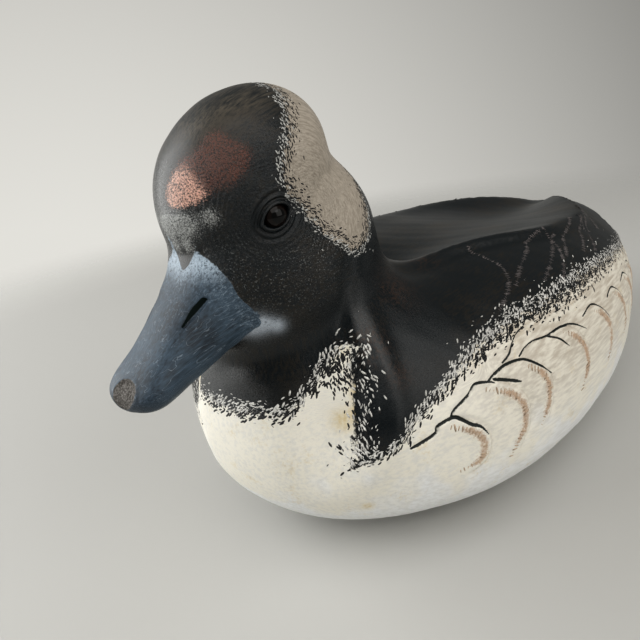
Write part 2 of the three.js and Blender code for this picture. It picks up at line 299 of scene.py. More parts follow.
def nostril_reach(m):
    """Distance from the nostril's middle line, and its half width there, which tapers forwards."""
    distance, along, _ = along_line(m[:, 1:], nostril)
    on_side = (m[:, 0] > 3) & (m[:, 1] < -30)
    return np.where(on_side, distance, FAR_OFF), NOSTRIL_HALF_WIDTH - NOSTRIL_NARROWING * ramp(along, 0.3, 1)


def nail_reach(q):
    """1 on the rim of the nail at the bill's tip and less inside it."""
    d = q - NAIL_MIDDLE
    elsewhere = 9 * (np.abs(d[:, 1]) > 6)
    return np.hypot(d[:, 0] / NAIL_HALF_WIDTH, (d @ NAIL_ALONG) / NAIL_HALF_LENGTH) + elsewhere


# Where the paint changes: the distance in mm from each border, positive on the side of the white breast and
# flanks, and on the side of the white patch behind the eye.
WING_EDGE_Z, WING_REAR_DROP = 64.5, 13
WING_FRONT_DROP, WING_FRONT_LENGTH, WING_FRONT_POWER = 23.3, 72, 2.4
BREAST_EDGE_Z, BREAST_EDGE_RISE = 56.5, 15
PATCH_BORDER = [
    (12, 36), (9.5, 29.5), (6.1, 27.7), (2.6, 24), (-1.1, 20.9), (-5, 17.7), (-7.3, 13.9), (-7.5, 9.9),
    (-6.4, 6.6), (-4.3, 1.3), (-3.1, -3.1), (0.2, -7.3), (4.7, -12.4), (10.9, -13.1), (15.7, -10.6),
    (18.9, -5.7), (21.3, -1.4), (25, 3), (31, 6), (40, 9),
]


def wing_edge_z(y):
    """Height of the folded wing's lower edge, where black meets the white flank."""
    drop_in_front = WING_FRONT_DROP * (np.maximum(-(y + 30), 0) / WING_FRONT_LENGTH) ** WING_FRONT_POWER
    return WING_EDGE_Z - drop_in_front - WING_REAR_DROP * ramp(y, -10, 120)


def white_side(p):
    y, z = p[:, 1], p[:, 2]
    breast_edge = BREAST_EDGE_Z + BREAST_EDGE_RISE * ramp(y, -112, -92) - z
    shoulder_edge = -behind_shoulder(p) - 1.6 * ramp(-z, -73, -66) + 0.8 * ramp(-z, -46, -42)
    return np.maximum(np.minimum(breast_edge, shoulder_edge), wing_edge_z(y) - z)


def patch_side(q):
    m = mirrored(q)
    _, _, right = along_line(m[:, 1:], drawn(PATCH_BORDER), reach=60)
    return np.clip(-right, -20, 20)


# The skin of the wood: a net of points laid on that surface, evenly on the body and denser at the head,
# the bill, the eyes and the knife's lines, so that every cut is in the mesh itself.
MM = 0.001
NET_LOW, NET_HIGH, NET_STEP = (-78, -153, -15), (78, 153, 147), 3
FIRST_ROUNDS, SPLITS, ROUNDS_AFTER_SPLIT = 4, 6, 2
BROAD_EDGE, BELOW_TABLE_EDGE, TOO_LONG, FINE_FEATHERS = 2.3, 5, 1.4, 4


def rough_net(shape):
    """Points and triangles where the surface passes through the cells of a regular grid."""
    axes = [np.arange(low, high, NET_STEP) for low, high in zip(NET_LOW, NET_HIGH)]
    grid = np.stack(np.meshgrid(*axes, indexing="ij"), -1)
    inside = shape(grid) < 0
    strides = (inside.shape[1] * inside.shape[2], inside.shape[2], 1)
    quads = []
    for axis in range(3):
        u, v = strides[(axis + 1) % 3], strides[(axis + 2) % 3]
        ahead = np.roll(inside, -1, axis)
        for crossing, order in ((inside & ~ahead, 1), (~inside & ahead, -1)):
            at = np.flatnonzero(crossing)
            quads.append(np.stack([at, at - u, at - u - v, at - v][::order], 1))
    cells, quads = np.unique(np.concatenate(quads), return_inverse=True)
    quads = quads.reshape(-1, 4)
    points = grid.reshape(-1, 3)[cells] + NET_STEP / 2
    return points, np.concatenate([quads[:, [0, 1, 2]], quads[:, [0, 2, 3]]])


def outward(points, shape, step=0.05):
    """The slope of the distance at each point, which on the surface is the direction out of the wood."""
    slope = np.empty_like(points)
    for axis in range(3):
        move = np.zeros(3)
        move[axis] = step
        slope[:, axis] = (shape(points + move) - shape(points - move)) / (2 * step)
    return slope


def settle(points, shape):
    slope = outward(points, shape)
    return points - slope * (shape(points) / (slope**2).sum(1))[:, None]


def edges_of(faces):
    """The net's edges, each once, and which three of them each face has."""
    pairs = np.sort(faces[:, [[0, 1], [1, 2], [2, 0]]].reshape(-1, 2), 1)
    edges, which = np.unique(pairs, axis=0, return_inverse=True)
    return edges, which.reshape(-1, 3)


def even_out(points, faces, shape, rounds):
    edges, _ = edges_of(faces)
    count = np.bincount(edges.ravel(), minlength=len(points))[:, None]
    for _ in range(rounds):
        middle = np.stack([
            np.bincount(edges[:, 0], points[edges[:, 1], axis], len(points))
            + np.bincount(edges[:, 1], points[edges[:, 0], axis], len(points))
            for axis in range(3)
        ], 1)
        points = settle(points + 0.5 * (middle / count - points), shape)
    return points


def split_long_edges(points, faces, wanted):
    """Halves each edge that is longer than is wanted where it lies, and cuts its faces to suit."""
    edges, of_face = edges_of(faces)
    middles = points[edges].mean(1)
    long = np.linalg.norm(points[edges[:, 0]] - points[edges[:, 1]], axis=1) > TOO_LONG * wanted(middles)
    new = np.full(len(edges), -1)
    new[long] = len(points) + np.arange(long.sum())
    points = np.concatenate([points, middles[long]])
    cut = new[of_face]
    count = (cut >= 0).sum(1)
    made = [faces[count == 0]]
    whole = count == 3
    a, b, c = faces[whole].T
    ab, bc, ca = cut[whole].T
    made += [np.stack(t, 1) for t in ((a, ab, ca), (ab, b, bc), (ca, bc, c), (ab, bc, ca))]
    for turn in range(3):
        corners, cuts = np.roll(faces, -turn, 1), np.roll(cut, -turn, 1)
        one = (count == 1) & (cuts[:, 0] >= 0)
        a, b, c = corners[one].T
        made += [np.stack(t, 1) for t in ((a, cuts[one, 0], c), (cuts[one, 0], b, c))]
        two = (count == 2) & (cuts[:, 2] < 0)
        a, b, c = corners[two].T
        ab, bc = cuts[two, 0], cuts[two, 1]
        made += [np.stack(t, 1) for t in ((a, ab, c), (ab, b, bc), (ab, bc, c))]
    return points, np.concatenate(made)


def wanted_edge(p):
    """How long an edge of the skin may be at a place, in mm."""
    q = to_head(p)
    in_middle = 9 * (np.abs(p[:, 0]) < FLANK_FROM_X)
    from_nostril, _, _ = along_line(mirrored(q)[:, 1:], nostril)
    # length of a fine edge, distance from what needs it, and where it begins and ends to grow
    finer = [
        (1.25, -q[:, 2], 24, 40),
        (0.68, np.maximum(q[:, 1] + 27, -30 - q[:, 2]), 0, 6),
        (1.05, np.abs(white_side(p)), 2.5, 7),
        (0.85, np.abs(patch_side(q)) + 9 * (p[:, 2] < 75), 2.5, 6),
        (0.27, round_eye(q)[0], 4.6, 14),
        (0.3, from_nostril, 1, 5),
    ]
    for line in feather_edges[:FINE_FEATHERS]:
        finer.append((0.62, along_line(p[:, 1:], line)[0] + in_middle, 3, 6))
    for line, half_width, _ in flank_cuts:
        finer.append((0.8 * half_width, along_line(p[:, 1:], line)[0] + in_middle, 0.5, 4.5))
    length = np.full(len(p), BROAD_EDGE) - 0.6 * ramp(-p[:, 1], -30, 30) * ramp(p[:, 2], 5, 25)
    for fine, distance, start, end in finer:
        length = np.minimum(length, fine + (BROAD_EDGE - fine) * ramp(distance, start, end))
    return np.where(p[:, 2] < -2, BELOW_TABLE_EDGE, length)


points, faces = rough_net(wood)
points = even_out(points, faces, wood, FIRST_ROUNDS)
for _ in range(SPLITS):
    points, faces = split_long_edges(points, faces, wanted_edge)
    points = even_out(points, faces, wood, ROUNDS_AFTER_SPLIT)
normals = outward(points, wood)
normals /= np.linalg.norm(normals, axis=1)[:, None]


# Heights and depths of the finer carving, in mm.
FEATHER_LIP, FEATHER_FOOT, FEATHER_RIM = 0.4, 0.42, 0.3
SHOULDER_RIDGE, SHOULDER_RIDGE_FOOT = 0.5, 0.35
WING_FOLD_LIP, WING_FOLD_DEPTH, WING_EDGE_STEP = 0.35, 0.8, 0.35
WING_LINES, WING_LINE_DEPTH, TAIL_GROOVE_DEPTH, TAIL_FEATHER_DEGREES = 3, 0.4, 0.4, 6.5
LID_HEIGHT, LOWER_LID_EXTRA, EYE_SOCKET_DEPTH = 0.7, 0.3, 1.9
TEMPLE_DEPTH, JAW_DEPTH, FACE_FOLD_HEIGHT, FACE_FOLDS_APART = 0.45, 0.5, 0.06, 1.7
BILL_LINE_DEPTH, UPPER_BILL_LINE_DEPTH, NOSTRIL_DEPTH, NAIL_RIM, NAIL_DEPTH = 0.3, 0.16, 0.8, 0.2, 0.55
LONG_WAVE, SHORT_WAVE = 0.11, 0.05


def feather_relief(p):
    """The cuts between the flank feathers, and each feather's edge standing a little proud."""
    height = np.zeros(len(p))
    at = p[:, 1:]
    for line in feather_edges:
        distance, share, right = along_line(at, line)
        fading = ramp(share, 0, 0.2) * (1 - ramp(share, 0.75, 1)) * (distance < 8)
        lip, foot = FEATHER_LIP * hump(right - 1.2, 1.8), FEATHER_FOOT * hump(right + 0.9, 1)
        height += (lip - foot + FEATHER_RIM * hump(right, 0.6)) * fading
    for line, half_width, depth in flank_cuts:
        distance, share, _ = along_line(at, line)
        tapering = (0.35 + 0.65 * ramp(share, 0, 0.1)) * (1 - ramp(share, 0.7, 1.02))
        height -= depth * tapering * np.clip(1.15 - distance / half_width, 0, 1)
    return height * (np.abs(p[:, 0]) > FLANK_FROM_X)


def wing_relief(p):
    """The thin ridge down the shoulder's edge, the sharp fold under the wing's crest, and long feathers."""
    x, y, z = np.abs(p[:, 0]), p[:, 1], p[:, 2]
    behind = behind_shoulder(p)
    ridge = SHOULDER_RIDGE * hump(behind, 0.9) - SHOULDER_RIDGE_FOOT * hump(behind + 1.9, 1.1)
    height = ridge * ramp(z, 40, 50) * (1 - ramp(z, 80, 90)) * ramp(x, 20, 26)
    below = x - wing_crest_x(y)
    fold = WING_FOLD_LIP * hump(below, 2.2) - WING_FOLD_DEPTH * hump(below - 4, 2)
    height += fold * ramp(y, -66, -50) * (1 - ramp(y, 85, 115)) * ramp(z, 58, 68)
    for number in range(WING_LINES):
        line_z = wing_edge_z(y) + 3.5 + (4.5 - 0.035 * (y - 20)) * number
        reach = ramp(y, 18 + 16 * number, 45 + 16 * number) * (1 - ramp(y, 112, 124))
        height -= WING_LINE_DEPTH * hump(z - line_z, 0.9) * reach * (x > 8)
    edge = wing_edge_z(y) - z
    step = WING_EDGE_STEP * hump(edge + 1.5, 2) - WING_EDGE_STEP * hump(edge - 1.2, 1.2)
    return height + step * ramp(y, 0, 40) * (1 - ramp(y, 108, 122)) * (x > 8)


def tail_relief(p):
    """Narrow feathers spread over the tail, above and below."""
    x, y = p[:, 0], p[:, 1]
    spread = np.degrees(np.arctan2(x, y - 70))
    groove = (0.5 + 0.5 * np.cos(2 * np.pi * spread / TAIL_FEATHER_DEGREES)) ** 6
    return -TAIL_GROOVE_DEPTH * groove * ramp(y, 112, 126)


def eye_edge(q):
    """Distance outside the almond opening between the lids, which is negative inside it."""
    _, forwards, upwards = round_eye(q)
    upwards = upwards + EYE_TILT * forwards
    circle = (EYE_HALF_LENGTH**2 + EYE_HALF_HEIGHT**2) / (2 * EYE_HALF_HEIGHT)
    middle = circle - EYE_HALF_HEIGHT
    return np.maximum(np.hypot(forwards, upwards + middle), np.hypot(forwards, upwards - middle)) - circle


def eye_relief(q):
    """Two lids round the eye's almond, the lower one thicker, in shallow rings, and the glass's socket."""
    reach, forwards, upwards = round_eye(q)
    edge = np.where(reach < 12, eye_edge(q), 20)
    lower = ramp(-upwards, -1, 2)
    lid = (LID_HEIGHT + LOWER_LID_EXTRA * lower) * hump(edge - 0.45, 0.5 + 0.15 * lower)
    rings = 0.3 * hump(edge - 2, 0.4) - 0.35 * hump(edge - 1.35, 0.4) - 0.3 * hump(edge - 2.8, 0.5)
    socket = -EYE_SOCKET_DEPTH * (1 - ramp(edge, -0.4, 0.05)) * (1 - 0.7 * ramp(np.abs(forwards), 2.8, 3.6))
    return lid + rings + 0.2 * hump(edge - 3.7, 0.5) + socket


def face_relief(q):
    """The fold behind the eye, the jaw, and fine folds in the skin below the eye."""
    m = mirrored(q)
    distance, share, _ = along_line(m[:, 1:], temple_crease)
    crease = -TEMPLE_DEPTH * hump(distance, 1.1) * ramp(share, 0, 0.3)
    height = crease * (1 - ramp(share, 0.7, 1)) * (m[:, 0] > 12)
    distance, share, right = along_line(m[:, 1:], jaw_line)
    jaw = JAW_DEPTH * hump(right - 0.6, 0.9) * (1 - ramp(share, 0.6, 1))
    height -= jaw * (distance < 5) * (m[:, 0] > 8)
    reach, forwards, upwards = round_eye(q)
    folds = np.cos(2 * np.pi * (reach + 0.4 * np.sin(forwards * 0.9)) / FACE_FOLDS_APART)
    where = ramp(reach, 5.4, 7) * (1 - ramp(reach, 10, 15)) * ramp(-upwards, 0, 4) * ramp(forwards, -8, 0)
    return height + FACE_FOLD_HEIGHT * folds * where


def bill_relief(q):
    """The lines along the bill's lower edge, the nostrils and the nail, which is worn hollow."""
    m = mirrored(q)
    share = along_bill(q)
    edge_z = through(BILL_BOTTOM, np.clip(share, 0, 1)) + 2.6 - 0.8 * share
    on_side = ramp(share, 0, 0.12) * (1 - ramp(share, 0.8, 0.95)) * ramp(m[:, 0], 4, 7)
    height = -BILL_LINE_DEPTH * hump(q[:, 2] - edge_z, 0.42) * on_side
    upper_line = UPPER_BILL_LINE_DEPTH * hump(q[:, 2] - edge_z - 1.7 + share, 0.4)
    height -= upper_line * on_side * (1 - ramp(share, 0.35, 0.6))
    distance, width = nostril_reach(m)
    height -= NOSTRIL_DEPTH * np.clip(1.3 - distance / width, 0, 1)
    reach = nail_reach(q)
    return height + (NAIL_RIM * hump(reach - 1.08, 0.12) - NAIL_DEPTH * (1 - ramp(reach, 0.82, 1.02)))


def knife_marks(p):
    """Low, broad waves left by the blade and the sanding."""
    x, y, z = p.T
    long_waves = np.sin(0.21 * y + 0.09 * z) * np.sin(0.17 * z + 0.11 * x + 1.3)
    short_waves = np.sin(0.55 * y - 0.3 * x + 2) * np.sin(0.47 * z + 0.2 * y + 0.7)
    return LONG_WAVE * long_waves + SHORT_WAVE * short_waves


head_points = to_head(points)
relief = feather_relief(points) + wing_relief(points) + tail_relief(points) + knife_marks(points)
on_head = points[:, 2] > 60
relief[on_head] += (eye_relief(head_points) + face_relief(head_points) + bill_relief(head_points))[on_head]
carved_points = points + relief[:, None] * normals

# The carving frame and the part's frame differ only by a small step along Y, taken from the glass eyes.
eye_low, eye_high = (np.array(corner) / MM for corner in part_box("glass_eye_left"))
to_part = np.array([0, (eye_low[1] + eye_high[1]) / 2 - from_head(EYE_PLACE)[1], 0])

mesh = bpy.data.meshes.new("painted_duck")
mesh.from_pydata(((carved_points + to_part) * MM).tolist(), [], faces.tolist())
duck = bpy.data.objects.new("painted_duck", mesh)
scene.collection.objects.link(duck)
build = bmesh.new()
build.from_mesh(mesh)
cut = bmesh.ops.bisect_plane(
    build, geom=[*build.verts, *build.edges, *build.faces], plane_co=(0, 0, 0), plane_no=(0, 0, -1),
    clear_outer=True, dist=1e-6)
rim = [e for e in cut["geom_cut"] if isinstance(e, bmesh.types.BMEdge)]
filled = bmesh.ops.holes_fill(build, edges=rim, sides=0)["faces"]
bmesh.ops.triangulate(build, faces=filled)
for edge in rim:
    edge.smooth = False
build.to_mesh(mesh)
build.free()
mesh.shade_smooth()

# The paint: brushed and dabbed on by hand. Where black and white meet, small dabs of each are set into the
# other, and the bill's edge is cut in by hand.
STROKES_INSIDE, STROKE_SQUEEZE = 1.9, 0.13
# Dust, ochre, browner patches and places of painted light: the middle and the size of each soft patch, on
# the body or in the head's frame.
COPPER_DUST = [((1.5, -26, 17), 3.4), ((3.5, -25.2, 17), 4), ((8, -23.5, 17), 4.5), ((5, -21.5, 21.5), 4.5),
               ((11, -18.5, 21.5), 5), ((14, -17, 18.5), 4.5), ((15.5, -12.5, 21), 4), ((10, -14, 25.5), 4)]
# The lower front of the copper dust is painted a paler salmon: a painted highlight.
COPPER_LIT = [((2, -26, 15.5), 4), ((8, -24.2, 14.8), 3.4), ((4, -24, 19), 4)]
# Above the bill, grey dust that also serves as a painted sheen on the black.
GREY_DUST_AND_SHEEN = [((0, -27.5, 10), 4), ((5, -26.6, 9.5), 4), ((2.2, -27.5, 4), 2.2), ((11, -23.9, 10.5), 2.6)]
# A warm, paler black on the crown: a painted sheen.
CROWN_SHEEN = [((0, -8, 33), 12), ((-14, -4, 26), 12), ((8, 4, 33), 10)]
OCHRE_STAINS = [((33, -97, 60), 2.4), ((33.5, -98.6, 54.5), 2.4), ((30, -101.3, 52.5), 3),
                ((32.7, -99.3, 24.4), 1.5)]
BROWN_PATCHES = [((34.5, -90.2, 70.9), 4.5), ((41.1, -88.3, 62.3), 4), ((30, -70, 80), 7), ((20, -45, 80), 7)]
# Under the jaw, a pale slate streak over the black: a painted highlight for light reflected there.
THROAT_HIGHLIGHT = [((12.9, -112, 81.4), 3.3), ((15.4, -109.9, 81.8), 2.6), ((17.8, -107, 80.9), 2)]


def blots(at, places):
    """Soft round patches, 1 at their middles."""
    return np.minimum(sum(hump(np.linalg.norm(at - middle, axis=1), size) for middle, size in places), 1)


def bill_side(q):
    x, y, z = np.abs(q[:, 0]), q[:, 1], q[:, 2]
    base_y = -27 - 3 * hump(x, 2.7) + 2.8 * ramp(-z, 8, 18.5) + 1.5 * ramp(x, 15, 17)
    under = z - through(BILL_BOTTOM, np.clip(along_bill(q), 0, 1)) + 1.5 - 5.5 * ramp(y, -34, -24)
    return np.minimum(base_y - y, under)


def stroke_way(p, q):
    """Places in mm, squeezed to an eighth along the way that the brush went, so that a noise read there
    is drawn out into strokes: back along the body, down the neck, along the head and round the patch."""
    body = p * [1, STROKE_SQUEEZE, 1]
    down_neck = p * [1, 1, STROKE_SQUEEZE]
    along_head = q * [1, STROKE_SQUEEZE, 1]
    turn = np.arctan2(q[:, 2] - 2, -q[:, 1] - 4)
    round_patch = np.stack([q[:, 0], np.hypot(q[:, 1] + 4, q[:, 2] - 2), 25 * STROKE_SQUEEZE * turn], 1)
    on_neck = (ramp(p[:, 2], 52, 66) * ramp(-p[:, 1], 62, 74))[:, None]
    on_head = ramp(q[:, 2], -27, -20)[:, None] * on_neck
    in_patch = (ramp(patch_side(q), -1, 2) * ramp(p[:, 2], 70, 80))[:, None]
    way = body + (down_neck - body) * on_neck
    way = way + (along_head - way) * on_head
    return way + (round_patch - way) * in_patch


def worn_marks(p, q):
    """How much of the flank's cuts, the nostrils and the nail's hollow each point has, from 0 to 1."""
    in_cut = np.zeros(len(p))
    for line, half_width, _ in flank_cuts:
        distance, share, _ = along_line(p[:, 1:], line)
        tapering = ramp(share, -0.1, 0.1) * (1 - ramp(share, 0.75, 1.05))
        in_cut = np.maximum(in_cut, np.clip(1.5 - distance / (half_width * (0.4 + 0.6 * tapering)), 0, 1))
    in_cut *= np.abs(p[:, 0]) > FLANK_FROM_X
    m = mirrored(q)
    distance, width = nostril_reach(m)
    in_nostril = np.clip(1.6 - distance / width, 0, 1)
    in_nail = np.clip((1.05 - nail_reach(q)) * 4 + 0.5, 0, 1)
    return np.stack([in_cut, in_nostril, in_nail], 1)


finished = np.empty(len(mesh.vertices) * 3)
mesh.vertices.foreach_get("co", finished)
finished = finished.reshape(-1, 3) / MM - to_part
finished_head = to_head(finished)
off_head = finished[:, 2] < 62
borders = np.stack([white_side(finished), patch_side(finished_head), bill_side(finished_head)], 1)
borders[off_head, 1:] = -20
marks = worn_marks(finished, finished_head)
marks[off_head, 1:] = 0
# Ochre, browner patches, and the crown's painted sheen.
stains = np.stack([
    blots(mirrored(finished), OCHRE_STAINS),
    blots(mirrored(finished), BROWN_PATCHES),
    blots(mirrored(finished_head), CROWN_SHEEN),
], 1)
feather_brown, feather_line = np.zeros(len(finished)), np.zeros(len(finished))
for line in feather_edges:
    distance, along, right = along_line(finished[:, 1:], line)
    fading = ramp(along, 0.05, 0.2) * (1 - ramp(along, 0.8, 1)) * (np.abs(finished[:, 0]) > FLANK_FROM_X)
    beside_edge = hump(right - STROKES_INSIDE, 1.3) * (distance < 7)
    feather_brown = np.maximum(feather_brown, beside_edge * fading)
    # A thin painted shade just outside each feather's rear edge, at the foot of its step.
    feather_line = np.maximum(feather_line, hump(right + 0.55, 0.5) * fading)
above_face = ramp(finished_head[:, 2], 11.5, 14.5)
dusting = np.stack([
    blots(finished_head, COPPER_DUST) * above_face,
    blots(mirrored(finished_head), GREY_DUST_AND_SHEEN),
    blots(finished_head, COPPER_LIT),
], 1)
cut_in = hump(behind_shoulder(finished), 3.5) * ramp(finished[:, 2], 42, 48) * (np.abs(finished[:, 0]) > 20)
# Brown strokes by the feathers, the painted highlight under the jaw, and the cut-in edge at the shoulder.
worn = np.stack([feather_brown, blots(mirrored(finished), THROAT_HIGHLIGHT), cut_in], 1)
eye_reach, _, _ = round_eye(finished_head)


def keep(mesh, **values):
    """Keeps what was worked out for each point of a mesh as its attributes."""
    for name, value in values.items():
        kind, field = ("FLOAT_VECTOR", "vector") if value.ndim == 2 else ("FLOAT", "value")
        mesh.attributes.new(name, kind, "POINT").data.foreach_set(field, value.ravel())


keep(mesh, borders=borders, marks=marks, stains=stains, dusting=dusting, worn=worn, eye_reach=eye_reach,
     feather_line=feather_line, stroke_way=stroke_way(finished, finished_head))


class Nodes:
    """A tree of nodes. Numbers, colours and other nodes' outputs can be fed to any of them."""

    def feed(self, socket, value):
        if isinstance(value, bpy.types.NodeSocket):
            self.tree.links.new(value, socket)
        else:
            socket.default_value = value

    def add(self, kind, inputs=(), out=0, **settings):
        node = self.tree.nodes.new(kind if "Node" in kind else "ShaderNode" + kind)
        for name, value in settings.items():
            setattr(node, name, value)
        for name, value in dict(inputs).items():
            self.feed(node.inputs[name], value)
        return node.outputs if out is None else node.outputs[out]

    def times(self, a, b):
        return self.add("Math", {0: a, 1: b}, operation="MULTIPLY")

    def sum(self, *values):
        """Adds values up. One that is given as a pair counts as many times as its second number says."""
        total, *others = [self.times(*value) if isinstance(value, tuple) else value for value in values]
        for value in others:
            total = self.add("Math", {0: total, 1: value}, operation="ADD")
        return total


class Paint(Nodes):
    """A material, and what its paint is mixed from."""

    def __init__(self, name):
        self.material = bpy.data.materials.new(name)
        self.material.use_nodes = True
        self.tree = self.material.node_tree
        self.shader = self.tree.nodes["Principled BSDF"]

    def over(self, a, b):
        return self.add("Math", {0: a, 1: b}, operation="MAXIMUM")

    def rise(self, value, start, end, low=0.0, high=1.0):
        """Goes smoothly from low to high as the value goes from start to end."""
        return self.add("MapRange", {"Value": value, "From Min": start, "From Max": end, "To Min": low,
                                     "To Max": high}, interpolation_type="SMOOTHSTEP")

    def noise(self, at, scale, detail=2.0, roughness=0.5, distortion=0.0):
        """Noise with its grains about 1 / scale apart, round 0 and within -1/2 and 1/2."""
        grains = self.add("TexNoise", {"Vector": at, "Scale": scale, "Detail": detail,
                                       "Roughness": roughness, "Distortion": distortion})
        return self.sum(grains, -0.5)

    def mix(self, share, under, above):
        """Lays one colour over another where the share is 1."""
        return self.add("Mix", {0: share, 6: under, 7: above}, out=2, data_type="RGBA")

    def blend(self, share, under, above):
        return self.add("Mix", {0: share, 2: under, 3: above}, data_type="FLOAT")

    def read(self, name):
        return self.add("Attribute", attribute_name=name, out=1)

    def parts(self, vector):
        return self.add("SeparateXYZ", {0: vector}, out=None)

    def scaled(self, vector, scale):
        return self.add("VectorMath", {0: vector, 1: scale}, operation="MULTIPLY")

    def place(self):
        """The point's own place, in mm."""
        return self.scaled(self.add("TexCoord", out=3), (1 / MM, 1 / MM, 1 / MM))


BLACK, WARM_BLACK, BROWN_BLACK = (0.0035, 0.0065, 0.0085, 1), (0.014, 0.012, 0.009, 1), (0.06, 0.032, 0.02, 1)
SHEEN, CUT_GREEN, THROAT_HIGHLIGHT_SLATE = (0.085, 0.072, 0.055, 1), (0.006, 0.010, 0.009, 1), (0.44, 0.49, 0.55, 1)
SALMON, COPPER, SILVER = (0.70, 0.41, 0.32, 1), (0.12, 0.045, 0.03, 1), (0.42, 0.43, 0.42, 1)
CREAM, COOL_WHITE, GREY_WHITE = (0.86, 0.83, 0.74, 1), (0.86, 0.87, 0.87, 1), (0.68, 0.68, 0.66, 1)
# The grey-brown serves both as brushed grime and as a painted shade.
OCHRE, GRIME_AND_SHADE, FEATHER_BROWN = (0.62, 0.48, 0.22, 1), (0.47, 0.41, 0.33, 1), (0.44, 0.27, 0.16, 1)
PATCH_BEIGE, PATCH_LIGHT = (0.29, 0.255, 0.21, 1), (0.44, 0.39, 0.33, 1)
SLATE, DARK_SLATE, PALE_SLATE = (0.055, 0.085, 0.118, 1), (0.02, 0.027, 0.036, 1), (0.40, 0.48, 0.56, 1)
NAIL_BROWN, NAIL_PALE = (0.06, 0.055, 0.05, 1), (0.19, 0.18, 0.17, 1)
BARE_WOOD, WOOD_GRAIN = (0.47, 0.33, 0.19, 1), (0.30, 0.18, 0.09, 1)

paint = Paint("painted_wood")
place = paint.place()
stroke = paint.read("stroke_way")
white_mm, patch_mm, bill_mm = paint.parts(paint.read("borders"))
cut_share, nostril_share, nail_share = paint.parts(paint.read("marks"))
ochre_share, brown_patch_share, sheen_share = paint.parts(paint.read("stains"))
copper_share, grey_dust_and_sheen_share, lit_share = paint.parts(paint.read("dusting"))
feather_share, throat_highlight_share, cut_in_share = paint.parts(paint.read("worn"))
eye_reach = paint.parts(paint.read("eye_reach"))[0]
feather_edge = paint.parts(paint.read("feather_line"))[0]
_, backwards, height = paint.parts(place)

dabs = paint.noise(place, 0.95, detail=3, roughness=0.62)
specks = paint.noise(place, 2.6, detail=2, roughness=0.6)
dust = paint.noise(place, 2.6, detail=3, roughness=0.75)
dust_kinds = paint.noise(place, 2.9, detail=3, roughness=0.75)
wander = paint.noise(place, 0.13, detail=1)
broad = paint.noise(place, 0.045, detail=3, roughness=0.6)
brushed = paint.noise(stroke, 1.6, detail=4, roughness=0.65)
hairs = paint.noise(stroke, 4.5, detail=2, roughness=0.5)

# Black: the head and back, warm where it is thin and browner in patches on the shoulder and the back, with
# grey and copper dust on the forehead. Painted light lies over it too: a sheen on the crown, a highlight
# under the jaw, glints below the eye, and the copper's paler lit part.
colour = paint.mix(paint.rise(paint.sum(brushed, broad), -0.05, 0.25), BLACK, WARM_BLACK)
browned = paint.times(brown_patch_share, paint.rise(paint.sum(brushed, (dabs, 0.6)), -0.1, 0.2))
colour = paint.mix(paint.times(browned, 0.8), colour, BROWN_BLACK)
# Painted sheen: the crown's black made warmer and paler.
sheen = paint.times(sheen_share, paint.rise(paint.sum(brushed, (broad, 0.7)), -0.25, 0.25))
colour = paint.mix(sheen, colour, SHEEN)
# Painted highlight: a pale slate streak brushed over the black under the jaw.
painted_throat_highlight = paint.times(throat_highlight_share, paint.rise(paint.sum(brushed, (hairs, 0.8)), -0.38, 0.08))
colour = paint.mix(painted_throat_highlight, colour, THROAT_HIGHLIGHT_SLATE)
# Grey dust above the bill, which is also a painted sheen.
silver = paint.rise(paint.sum(dust_kinds, (grey_dust_and_sheen_share, 0.27)), 0.12, 0.4)
silver = paint.times(silver, paint.rise(grey_dust_and_sheen_share, 0.02, 0.3))
colour = paint.mix(silver, colour, SILVER)
coppery = paint.rise(paint.sum(dust, (copper_share, 0.3)), 0.2, 0.38)
coppery = paint.times(coppery, paint.rise(copper_share, 0.02, 0.3))
# Painted glints: sparse pale specks on the face below the eye, standing in for light caught on fine folds.
glints = paint.rise(paint.noise(place, 2.6, detail=1), 0.12, 0.2, 0, 0.3)
glints = paint.times(glints, paint.times(paint.rise(eye_reach, 6, 11), paint.rise(height, 112, 100)))
colour = paint.mix(paint.times(glints, paint.rise(eye_reach, 32, 14)), colour, SILVER)
# Painted highlight: the copper dust turns paler salmon on its lit lower front.
lit = paint.rise(paint.sum((dust_kinds, 1.2), lit_share), 0.1, 0.7)
colour = paint.mix(coppery, colour, paint.mix(lit, COPPER, SALMON))

# White: breast and flanks, warmer and cooler in places, with ochre and brushed grime, darker towards the top
# and rear of the flank, and a thin painted shade at the foot of each feather's rear edge.
low_down = paint.sum((broad, 90), (height, -1.0))
white = paint.mix(paint.rise(low_down, -36, -18), CREAM, COOL_WHITE)
streaks = paint.sum(paint.noise(stroke, 0.9, detail=4), (broad, 0.35))
white = paint.mix(paint.rise(streaks, -0.12, 0.2, 0, 0.5), white, GREY_WHITE)
# Darker grey-beige towards the top and rear of the flank.
upper_rear_darkening = paint.times(paint.rise(height, 22, 56), paint.rise(backwards, -96, -40))
white = paint.mix(paint.times(upper_rear_darkening, paint.rise(streaks, -0.2, 0.2, 0.3, 0.9)), white, GRIME_AND_SHADE)
white = paint.mix(paint.rise(brushed, 0.02, 0.35, 0, 0.3), white, GRIME_AND_SHADE)
white = paint.mix(paint.rise(paint.sum(wander, (dabs, 0.7)), 0.12, 0.4, 0, 0.35), white, OCHRE)
white = paint.mix(paint.times(ochre_share, paint.rise(dabs, -0.3, 0.3, 0.3, 1)), white, OCHRE)
smudge = paint.sum(feather_share, (dabs, 1.6), (hairs, 1.2))
smudge = paint.rise(smudge, 0.3, 1.0, 0, 0.75)
white = paint.mix(smudge, white, FEATHER_BROWN)
